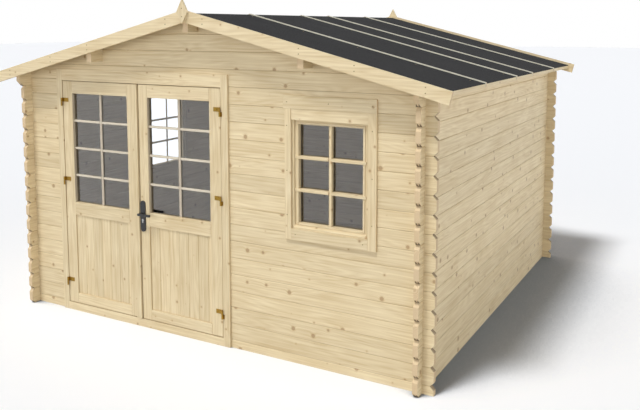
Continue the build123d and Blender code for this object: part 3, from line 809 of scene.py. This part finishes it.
@dataclass
class Window:
    """A barred window: trim boards, frame, sash, and bars over its pane.

    Args:
        facing: The wall that it is set in.
        centre: Its middle along the wall.
        level: The height of its pane's middle.
        prefix: The first words of its nodes' names.
        finishes: The finishes.
        board: The number of its first board.
    """

    facing: Facing
    centre: float
    level: float
    prefix: str
    finishes: Finishes
    board: float
    pane: tuple[float, float] = (235.5 * MM, 330 * MM)
    sash: tuple[float, float] = (262.5 * MM, 357 * MM)
    hole: tuple[float, float] = (264.5 * MM, 359 * MM)
    case: tuple[float, float, float] = (300 * MM, -385 * MM, 445 * MM)
    trim: tuple[float, float, float] = (340 * MM, -445 * MM, 520 * MM)
    trim_inner: tuple[float, float, float] = (281 * MM, -371 * MM, 432 * MM)
    trim_thick: float = 16 * MM
    trim_inset: float = 12 * MM
    bar: float = 20 * MM
    sash_face: float = -22 * MM
    ease: float = 1.5 * MM

    @property
    def seen(self) -> bool:
        """Whether this is the window that shows from outside the door."""
        return self.facing is Facing.FRONT

    @property
    def along(self) -> Finish:
        """The finish of a member that runs along the wall."""
        return self.finishes.across if self.seen else self.finishes.deep

    def block(self, span: Triple, outs: Triple) -> Block:
        """The space that a member fills.

        Args:
            span: Its left, right, bottom and top, from the pane's middle.
            outs: How far out its back and its face stand.

        Returns:
            The block in the frame.
        """
        left, right, bottom, top = span
        low = (left, outs[0], self.level + bottom)
        return self.facing.block(self.centre, low, (right, outs[1], self.level + top))

    def lay(
        self,
        word: str,
        spans: Sequence[Triple],
        outs: Triple,
        board: float,
        finish: Finish,
        *nodes: str,
        ease: float = 2 * MM,
    ) -> None:
        """Lay members as one dressed piece.

        Args:
            word: The last words of the piece's name.
            spans: Each member's left, right, bottom and top, from the pane's middle.
            outs: How far out their backs and faces stand.
            board: The first one's number, counted from the window's own.
            finish: What they are dressed in.
            nodes: The nodes that they replace.
            ease: How much is taken off their edges.
        """
        blocks = [self.block(span, outs) for span in spans]
        piece = Bench.boards(f"{self.prefix}_{word}", blocks, ease, self.board + board)
        Bench.fit(piece, finish, *nodes)

    def ring(self, word: str, outer: Triple, inner: Triple, outs: Triple, board: float, *nodes: str) -> None:
        """Lay a ring of two level members and the two uprights between them.

        Args:
            word: The middle word of their names.
            outer: Half width, bottom and top outside.
            inner: Half width, bottom and top inside.
            outs: How far out the back and the face stand.
            board: The first member's number.
            nodes: The nodes that they replace.
        """
        wide, low, high = outer
        narrow, bottom, top = inner
        inset = self.trim_inset if outer is self.trim else 0.0
        level = [(-wide, wide, top, high), (-narrow, narrow, low, bottom)]
        upright = [(-wide + inset, -narrow, low, top), (narrow, wide, low, top)]
        self.lay(f"{word}_level", level, outs, board, self.along, *nodes, ease=self.ease)
        self.lay(f"{word}_upright", upright, outs, board + 2, self.finishes.upright, *nodes, ease=self.ease)

    def build(self) -> None:
        """Build and dress the window."""
        hole, sash, pane = ((wide, -tall, tall) for wide, tall in (self.hole, self.sash, self.pane))
        rings = {
            "trim": (self.trim, self.trim_inner, (0.0, self.trim_thick)),
            "frame": (self.case, hole, (-60 * MM, -2 * MM)),
            "sash": (sash, pane, (-52 * MM, self.sash_face)),
        }
        for count, (word, ring) in enumerate(rings.items()):
            self.ring(word, *ring, 4 * count, f"{self.prefix}_{word}")
        self.build_strips()
        self.build_beads()
        self.build_bars()
        self.build_screws()
        Bench.paint(self.finishes.pane, f"{self.prefix}_glass")

    def build_strips(self) -> None:
        """Lay the head strip and the sloping sill strip, as one piece."""
        inner, foot, head = self.trim_inner
        wide, tall = self.hole
        sill_high, sill_fall = 30 * MM, 16 * MM
        spans = {(-inner, inner, tall, head): (-2 * MM, 12 * MM)}
        spans[(-wide, wide, foot, foot + sill_high)] = (self.sash_face, 9 * MM)
        blocks = [self.block(span, outs) for span, outs in spans.items()]
        strips = Bench.boards(f"{self.prefix}_strips", blocks, self.ease, self.board + 12)
        edge = self.block((0.0, 0.0, foot + sill_high / 2, foot + sill_high), (-5 * MM, -5 * MM))
        axis = 1 if self.seen else 0

        def outer(point: bmesh.types.BMVert) -> bool:
            """Whether a point is on the sill strip's upper outer edge."""
            return edge.low.z < point.co.z < edge.high.z + 1 * MM and point.co[axis] < edge.low[axis]

        Bench.pick(strips, "VERT", outer)
        bpy.ops.transform.translate(value=(0.0, 0.0, -sill_fall))
        Bench.done()
        Bench.fit(strips, self.along)

    def build_beads(self) -> None:
        """Lay the fillets and the beads round the pane."""
        left, top = self.pane
        lap = 15 * MM
        outer = (self.sash[0], -self.sash[1] + 14 * MM, self.sash[1])
        inner = (left + lap, -top - 12 * MM, top + lap)
        self.ring("fillet", outer, inner, (self.sash_face, -11 * MM), 20)
        outs = (self.sash_face, -7 * MM)
        sides = [(-left - lap, -left, -top - lap, top + lap), (left, left + lap, -top - lap, top + lap)]
        ends = [(-left, left, top, top + lap), (-left, left, -top - lap, -top)]
        self.lay("side_beads", sides, outs, 15, self.finishes.upright)
        self.lay("end_beads", ends, outs, 17, self.along)

    def build_screws(self) -> None:
        """Screw the trim boards on."""
        side, foot, head = ((out + into) / 2 for out, into in zip(self.trim, self.trim_inner))
        marks = [(-side, head), (0.0, head), (side, head), (-0.8 * side, foot), (0.8 * side, foot)]
        marks += [(end * side, up) for end in (-1, 1) for up in (-0.28, 0.02, 0.32)]
        outs = (self.trim_thick, self.trim_thick)
        places = [self.block((along, along, up, up), outs).low for along, up in marks]
        way = FORWARD if self.seen else (-1.0, 0.0, 0.0)
        Bench.fit(Bench.screws(f"{self.prefix}_screws", places, way, 3.5 * MM), self.finishes.zinc)

    def build_bars(self) -> None:
        """Lay the bars over the pane, and the spacers in the front window's pane, which are painted
        near-black as shade.
        """
        half = self.bar / 2
        wide, tall = self.pane
        third = tall / 3
        face, proud, lap = (-11 * MM, 8 * MM, 26 * MM) if self.seen else (-34 * MM, 0.0, 0.0)
        back, board = -40 * MM, 18
        bar = [(-half, half, -tall, tall)]
        self.lay("bar", bar, (back, face), board, self.finishes.upright)
        rungs = [
            (left, right, up - half, up + half)
            for up in (-third, third)
            for left, right in ((-wide - lap, -half), (half, wide + lap))
        ]
        self.lay("rungs", rungs, (back, face + proud), board + 1, self.along)
        if not self.seen:
            return
        # The spacers take the near-black finish of painted shade.
        rim, front = 3 * MM, -44 * MM
        levels = ((2, -third), (4, third))
        parts = [((-wide, wide, up - half, up + half), -58 * MM, count) for count, up in levels]
        sides = ((-wide, -wide + rim), (-half, half), (wide - rim, wide))
        parts += [((left, right, -tall, tall), -61 * MM, 6) for left, right in sides]
        name = f"{self.prefix}_spacers"
        spacers = [
            Bench.plank(name, self.block(span, (deep, front)), 1 * MM, self.board + board + count)
            for span, deep, count in parts
        ]
        Bench.fit(Bench.unite(name, spacers), self.finishes.spacer)


class Hand(Enum):
    """The two leaves of the door."""

    LEFT = "left"
    RIGHT = "right"


@dataclass
class DoorLeaf:
    """A half-glazed door leaf: stiles, rails, V-jointed boards and glazing bars.

    Args:
        hand: Which leaf it is.
        board: The number before its first board's.
        finishes: The finishes.
    """

    hand: Hand
    board: float
    finishes: Finishes
    pitch: float = 89 * MM
    vee: float = 3.5 * MM
    upright_bar: float = 22 * MM
    level_bar: float = 17 * MM
    bar_thick: float = 9 * MM
    rungs: int = 3
    lap: float = 8 * MM
    lining: float = 2 * MM
    whole: Block = field(init=False)
    panel: Block = field(init=False)
    glass: Block = field(init=False)

    def __post_init__(self) -> None:
        """Read the leaf's sizes from the frame."""
        self.whole = Block.of(self.name("frame"))
        self.panel = Block.of(self.name("panel"))
        self.glass = Block.of(self.name("glass"))

    def name(self, word: str) -> str:
        """A piece's name on this leaf."""
        return f"{self.hand.value}_door_{word}"

    def lay(
        self, word: str, spans: Sequence[Triple], outs: Triple, ease: float, finish: Finish, *nodes: str
    ) -> None:
        """Lay boards of the leaf as one dressed piece.

        Args:
            word: The last words of its name.
            spans: Each board's left, right, bottom and top.
            outs: Their front and their back.
            ease: How much is taken off their edges.
            finish: What they are dressed in.
            nodes: The last words of the nodes that they replace.
        """
        blocks = [Block.between((span[0], outs[0], span[2]), (span[1], outs[1], span[3])) for span in spans]
        piece = Bench.boards(self.name(word), blocks, ease, self.board + 1)
        self.board += len(blocks)
        Bench.fit(piece, finish, *map(self.name, nodes), body=f"{self.hand.value}_door")

    def build(self) -> None:
        """Build and dress the leaf."""
        low, high = self.whole.low, self.whole.high
        left, right = self.glass.low.x + self.lap, self.glass.high.x - self.lap
        sill, head = self.glass.low.z + self.lap, self.glass.high.z - self.lap
        outs = (low.y, high.y)
        ease, gap = 1.5 * MM, 0.5 * MM
        stiles = [(low.x, left, low.z, high.z), (right, high.x, low.z, high.z)]
        heights = ((head, high.z), (self.panel.high.z, sill), (low.z, self.panel.low.z))
        rails = [(left + gap, right - gap, *height) for height in heights]
        self.lay("stiles", stiles, outs, ease, self.finishes.upright, "frame")
        self.lay("rails", rails, outs, ease, self.finishes.across, "frame")
        self.build_panel(left, right)
        self.build_bars(left, right, sill, head)
        Bench.paint(self.finishes.pane, self.name("glass"))

    def build_panel(self, left: float, right: float) -> None:
        """Fill the lower half with V-jointed boards, from the opening's left to its right."""
        boards = []
        start = left
        while start < right - 1 * MM:
            end = min(start + self.pitch, right)
            boards.append((start, end, self.panel.low.z, self.panel.high.z))
            start = end
        outs = (self.panel.low.y, self.panel.high.y)
        self.lay("panel_boards", boards, outs, self.vee, self.finishes.upright, "panel")

    def build_bars(self, left: float, right: float, bottom: float, top: float) -> None:
        """Lay the glazing bars on both sides of the pane, and line its opening.

        Args:
            left: The opening's left side.
            right: Its right side.
            bottom: Its foot.
            top: Its head.
        """
        middle = (left + right) / 2
        half, high = self.upright_bar / 2, self.level_bar / 2
        front, back = self.glass.low.y, self.glass.high.y
        sides = {"outer": (front - self.bar_thick, front), "inner": (back, back + self.bar_thick)}
        step = (top - bottom) / (self.rungs + 1)
        levels = [bottom + count * step for count in range(1, self.rungs + 1)]
        halves = ((left + self.lining, middle - half), (middle + half, right - self.lining))
        bar = [(middle - half, middle + half, bottom, top)]
        rungs = [(*ends, level - high, level + high) for level in levels for ends in halves]
        # The upright bars carry their finish's painted shade.
        for side, outs in sides.items():
            self.lay(f"{side}_bar", bar, outs, 2 * MM, self.finishes.bar_upright)
            self.lay(f"{side}_rungs", rungs, outs, 2 * MM, self.finishes.bar_across)
        linings = [(start, start + self.lining, bottom, top) for start in (left, right - self.lining)]
        self.lay("linings", linings, (self.whole.low.y + 2 * MM, front), 0.4 * MM, self.finishes.lining)


@dataclass
class Roof:
    """The roof's boards and the finishes of its timbers, felt and battens."""

    finishes: Finishes
    slope: float = math.tan(math.radians(14))
    battens: tuple[float, ...] = (0.68, 1.47, 1.96, 2.74)
    batten_nails: tuple[float, ...] = (0.10, 0.54, 0.98, 1.42, 1.80)
    barge_screws: tuple[float, ...] = (0.16, 0.91, 1.30, 1.76)
    pitch: float = 88 * MM

    def slope_boards(self, side: str, board: float) -> None:
        """Lay one slope as separate boards that run down from the ridge.

        Args:
            side: left or right.
            board: The first board's number.
        """
        whole = Block.of(f"{side}_roof_boards")
        eave = whole.high.x if side == "right" else whole.low.x
        fall = Vector((0.0, 0.0, whole.size.x * self.slope))

        def tilt(first: Piece) -> None:
            """Lower the board's end at the eave."""
            Bench.pick(first, "VERT", lambda point: abs(point.co.x - eave) < 5 * MM)
            bpy.ops.transform.translate(value=-fall)
            Bench.done()

        level = Block(whole.low + fall, whole.high)
        piece = Bench.row(f"{side}_slope_boards", level, self.pitch, 3 * MM, board, tilt)
        Bench.fit(piece, self.finishes.slope, f"{side}_roof_boards")

    def build(self) -> None:
        """Build and dress the roof."""
        self.slope_boards("left", 100.0)
        self.slope_boards("right", 150.0)
        barges = [f"{end}_barge_{side}" for end in ("front", "back") for side in ("left", "right")]
        Bench.paint(self.finishes.purlin, "ridge_purlin", "side_purlins")
        Bench.paint(self.finishes.felt, "roof_felt")
        Bench.paint(self.finishes.batten, "felt_battens")
        Bench.paint(self.finishes.across, *barges)
        Bench.paint(self.finishes.deep, "eave_boards")
        Bench.paint(self.finishes.upright, "finials")
        self.build_nails()
        self.build_screws()

    def build_nails(self) -> None:
        """Nail the battens down over the felt."""
        top = Block.of("felt_battens").high.z
        front = Block.of("roof_felt").low.y
        for side, word in ((-1, "left"), (1, "right")):
            places = [
                (side * out, front + along, top - (out - 3 * MM) * self.slope)
                for along in self.battens
                for out in self.batten_nails
            ]
            nails = Bench.screws(f"{word}_batten_nails", places, (side * self.slope, 0.0, 1.0), 3 * MM)
            Bench.fit(nails, self.finishes.zinc)

    def build_screws(self) -> None:
        """Screw the barge boards and the finials on, in front and behind."""
        barge = Block.of("front_barge_right")
        finial = Block.of("finials")
        half = barge.size.z - barge.high.x * self.slope
        for end, word in ((-1, "front"), (1, "back")):
            places = [
                (side * out, -end * barge.low.y, barge.high.z - out * self.slope - share * half)
                for side in (-1, 1)
                for out in self.barge_screws
                for share in (0.28, 0.72)
            ]
            tips = [(0.0, -end * finial.low.y, finial.high.z - drop) for drop in (62 * MM, 118 * MM)]
            way = (0.0, end, 0.0)
            name = f"{word}_roof_screws"
            screws = Bench.unite(name, [Bench.screws(name, marks, way) for marks in (places, tips)])
            Bench.fit(screws, self.finishes.zinc)


@dataclass
class Floor:
    """The boarded floor on its joists."""

    finishes: Finishes
    pitch: float = 96 * MM

    def build(self) -> None:
        """Build and dress the floor."""
        piece = Bench.row("laid_floor_boards", Block.of("floor_boards"), self.pitch, 1.5 * MM, 200.0)
        Bench.fit(piece, self.finishes.floor, "floor_boards")
        Bench.paint(self.finishes.joist, "floor_joists")


@dataclass
class Walls:
    """The log walls' finishes."""

    finishes: Finishes

    def build(self) -> None:
        """Dress the walls."""
        Bench.paint(self.finishes.side_right, "right_wall")
        Bench.paint(self.finishes.side_left, "left_wall")
        Bench.paint(self.finishes.front, "front_wall_left", "front_wall_right", "front_gable")
        Bench.paint(self.finishes.back, "back_wall")


@dataclass
class Doorway:
    """The door's posts, header, sill, cover strip and ironmongery."""

    finishes: Finishes
    knuckle: float = 6 * MM
    plate: float = 3 * MM
    hinge_drops: tuple[float, ...] = (0.0, 628 * MM, 1450 * MM)
    leaf_marks: tuple[tuple[float, float], ...] = ((0.025, 0.008), (0.039, 0.022), (0.052, 0.009))
    post_marks: tuple[tuple[float, float], ...] = ((0.0105, 0.041), (0.0105, 0.056))
    keyhole: float = 834 * MM
    barrel: float = 8.5 * MM

    def build(self) -> None:
        """Dress the doorway."""
        hinges = [f"{side}_{leaf}_hinges" for side in ("left", "right") for leaf in ("door", "post")]
        Bench.paint(self.finishes.upright, "left_door_post", "right_door_post", "cover_strip")
        Bench.paint(self.finishes.across, "door_header", "door_sill")
        Bench.paint(self.finishes.brass, *hinges)
        Bench.paint(self.finishes.black, "lock_plates", "door_handle")
        self.build_hinge_screws("left", 1)
        self.build_hinge_screws("right", -1)
        for word, out in (("outer", -1), ("inner", 1)):
            self.build_lock(word, out)

    def build_hinge_screws(self, hand: str, side: int) -> None:
        """Screw the hinge plates to a leaf and its post.

        Args:
            hand: left or right.
            side: 1 where the leaf lies to the right of its pins, or else -1.
        """
        leaf = Block.of(f"{hand}_door_hinges")
        pin = leaf.low.x + self.knuckle if side > 0 else leaf.high.x - self.knuckle
        tops = [leaf.high.z - drop for drop in self.hinge_drops]
        plates = {
            "leaf": (f"{hand}_door", f"{hand}_door_frame", side, self.leaf_marks, 3.2 * MM),
            "post": ("cabin", f"{hand}_door_post", -side, self.post_marks, 2.4 * MM),
        }
        for word, (body, node, way, spots, radius) in plates.items():
            face = Block.of(node).low.y - self.plate
            marks = [(pin + way * out, face, top - down) for top in tops for out, down in spots]
            screws = Bench.screws(f"{hand}_{word}_screws", marks, FORWARD, radius)
            Bench.fit(screws, self.finishes.brass, body=body)

    def build_lock(self, word: str, out: int) -> None:
        """Add the lock's barrel, its keyway and a plate's screws on one face of the door.

        Args:
            word: outer or inner.
            out: The way that the face looks along Y.
        """
        plates = Block.of("lock_plates")
        middle = plates.middle.x
        face = plates.low.y if out < 0 else plates.high.y

        def part(half: float, near: float, far: float, low: float, high: float) -> Block:
            """A block at the keyhole, from near to far out of the plate and from low to high."""
            first = (middle - half, face + out * near, self.keyhole + low)
            return Block.between(first, (middle + half, face + out * far, self.keyhole + high))

        Bench.clear()
        place = (middle, face, self.keyhole)
        turn = (math.pi / 2, 0.0, 0.0)
        bpy.ops.mesh.primitive_cylinder_add(
            vertices=28, radius=self.barrel, depth=6 * MM, location=place, rotation=turn
        )
        name = f"lock_barrel_{word}"
        barrel = Bench.settle(name)
        Bench.pick(barrel, "FACE", lambda item: item.normal.y * out > 0.9)
        bpy.ops.mesh.inset(thickness=1.2 * MM, depth=0.6 * MM)
        bpy.ops.mesh.inset(thickness=0.8 * MM, depth=-0.8 * MM)
        Bench.done()
        tail = Bench.plank("tail", part(4.5 * MM, -1 * MM, 3.4 * MM, -22 * MM, -4 * MM), 0.9 * MM)
        Bench.fit(Bench.unite(name, [barrel, tail]), self.finishes.steel, body="right_door")
        slot = part(0.8 * MM, 1.5 * MM, 3.2 * MM, -4.5 * MM, 4.5 * MM)
        Bench.fit(Bench.plank(f"keyway_{word}", slot, 0.3 * MM), self.finishes.black, body="right_door")
        ends = [(middle, face, up) for up in (plates.low.z + 14 * MM, plates.high.z - 14 * MM)]
        screws = Bench.screws(f"lock_screws_{word}", ends, (0.0, out, 0.0), 3.5 * MM)
        Bench.fit(screws, self.finishes.black, body="right_door")


@dataclass
class Studio:
    """The pale floor, the lamp, the sky and the camera."""

    camera_place: tuple[float, float, float] = (3.3529, -5.9312, 2.2762)
    yaw: float = 0.504
    pitch: float = 0.108
    focal_pixels: float = 765.3
    picture_wide: int = 640
    sensor: float = 36.0
    rise: float = -0.15
    lamp_way: tuple[float, float, float] = (0.175, 0.44, -1.0)
    lamp_level: float = 0.715
    lamp_spread: float = 12.0
    sky_rim: float = 4.0
    sky_fall: float = 4.0
    pane_gain: float = 1.45
    floor_wide: float = 160.0
    floor_level: float = 0.49
    floor_seen: Colour = (1.015, 1.030, 1.070, 1.0)
    # The tone of the floor's painted shadow, and how far its mask looks.
    floor_shade: Colour = (0.325, 0.375, 0.460, 1.0)
    shade_reach: float = 5.0
    indoors: float = 0.11

    def build(self) -> None:
        """Build the studio."""
        self.build_floor()
        self.build_lamp()
        self.build_sky()
        self.build_camera()

    def build_floor(self) -> None:
        """Lay the floor: bright to the camera, with a painted shadow where the cabin stands between it and
        the lamp, and plain grey to everything else.
        """
        Bench.clear()
        bpy.ops.mesh.primitive_plane_add(size=self.floor_wide, location=(0.0, 0.0, -0.5 * MM))
        floor = Bench.settle("studio_floor")
        sheet = Surface("studio_floor")
        # Painted shadow: an occlusion mask that looks towards the lamp blends the seen floor from a bluish
        # shade tone to its bright tone, on top of the shadow that the lamp casts.
        values = {"Distance": self.shade_reach, "Normal": sheet.point(*-Vector(self.lamp_way).normalized())}
        open_sky = sheet.add("AmbientOcclusion", values, samples=16)
        share = sheet.ramp(open_sky.outputs["AO"], 0.40, 0.74)
        colour = sheet.blend(share, self.floor_shade, self.floor_seen)
        tone = sheet.add("VectorMath", {0: colour, "Scale": self.gain(sheet)}, operation="SCALE")
        bright = sheet.add("BsdfDiffuse", {"Color": tone.outputs[0]})
        plain = sheet.add("BsdfDiffuse", {"Color": grey(self.floor_level)})
        self.show(sheet, sheet.output, plain, bright)
        floor.data.materials.append(sheet.material)
        floor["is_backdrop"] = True

    def show(self, sheet: Sheet, output: bpy.types.Node, lit: bpy.types.Node, seen: bpy.types.Node) -> None:
        """Join two shaders to an output: one for what is seen, and one for what lights the cabin.

        Args:
            sheet: The sheet of nodes.
            output: Its output.
            lit: The shader for the light.
            seen: The shader for a ray from the camera, a mirror or a pane.
        """
        ray = sheet.add("LightPath").outputs
        mirrored = sheet.math("MAXIMUM", ray["Is Camera Ray"], ray["Is Glossy Ray"])
        either = sheet.math("MAXIMUM", mirrored, ray["Is Transmission Ray"])
        mask = sheet.math("MULTIPLY", either, sheet.ramp(ray["Diffuse Depth"], 0.0, 1.0, 1.0, 0.0))
        mixed = sheet.add("MixShader", {0: mask, 1: lit.outputs[0], 2: seen.outputs[0]})
        sheet.put(output, {"Surface": mixed.outputs[0]})

    def behind(self, sheet: Sheet, level: float) -> Socket:
        """A level for what a ray meets behind a pane, and 1 for the rest."""
        return sheet.ramp(sheet.add("LightPath").outputs["Is Transmission Ray"], 0.0, 1.0, 1.0, level)

    def gain(self, sheet: Sheet) -> Socket:
        """How much brighter a surface behind a pane is, to make up for what two panes hold back."""
        return self.behind(sheet, self.pane_gain)

    def build_lamp(self) -> None:
        """Hang one broad lamp to the front and the left, high up."""
        Bench.clear()
        bpy.ops.object.light_add(type="SUN", location=(-1.5, -5.0, 9.0))
        lamp = bpy.context.object
        lamp.name = "studio_lamp"
        lamp.rotation_euler = Vector(self.lamp_way).to_track_quat("-Z", "Y").to_euler()
        lamp.data.energy = self.lamp_level * math.pi
        lamp.data.angle = math.radians(self.lamp_spread)
        lamp.data.color = (1.0, 1.0, 0.99)

    def build_sky(self) -> None:
        """Set the sky: soft light all round, and white where it is seen or mirrored."""
        world = bpy.data.worlds.new("studio_sky")
        bpy.context.scene.world = world
        world.use_nodes = True
        world.node_tree.nodes.clear()
        sheet = Sheet(world.node_tree)
        up = sheet.part(sheet.add("TexCoord").outputs["Generated"], "Z")
        low = sheet.math("SUBTRACT", 1.0, sheet.math("ABSOLUTE", up))
        level = sheet.math("MULTIPLY", sheet.math("POWER", low, self.sky_fall), self.sky_rim)
        level = sheet.math("MULTIPLY", level, self.behind(sheet, self.indoors))
        soft = sheet.add("Background", {"Color": grey(1.0), "Strength": level})
        white = sheet.add("Background", {"Color": grey(1.0), "Strength": self.gain(sheet)})
        self.show(sheet, sheet.add("OutputWorld"), soft, white)

    def build_camera(self) -> None:
        """Set the camera at the place that the photograph was taken from."""
        Bench.clear()
        bpy.ops.object.camera_add(location=self.camera_place)
        camera = bpy.context.object
        camera.name = "studio_camera"
        camera.rotation_euler = (math.pi / 2 - self.pitch, 0.0, self.yaw)
        camera.data.sensor_width = self.sensor
        camera.data.lens = self.focal_pixels / self.picture_wide * self.sensor
        camera.data.shift_y = self.rise
        bpy.context.scene.camera = camera
        bpy.context.scene.view_settings.view_transform = "Standard"


def plain(corners: tuple[Vector, Vector]) -> list[list[float]]:
    """Two corners as plain lists of numbers."""
    return [list(corner) for corner in corners]


def main() -> None:
    """Build the cabin's pieces over the frame, and the studio round it."""
    logging.basicConfig(level=logging.INFO, format="%(name)s: %(message)s")
    sizes = {"cad": plain(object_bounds())}
    Bench.clear()
    finishes = Finishes()
    for part in (
        Walls(finishes),
        Floor(finishes),
        Roof(finishes),
        Doorway(finishes),
        DoorLeaf(Hand.LEFT, 300.0, finishes),
        DoorLeaf(Hand.RIGHT, 340.0, finishes),
        Window(Facing.FRONT, 1058 * MM, 1306 * MM, "front_window", finishes, 40.0),
        Window(Facing.LEFT, 0.0, 1246 * MM, "left_window", finishes, 70.0),
        Studio(),
    ):
        part.build()
    sizes["visual"] = plain(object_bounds())
    LOG.info("sizes: %s", sizes)


if __name__ == "__main__":
    main()
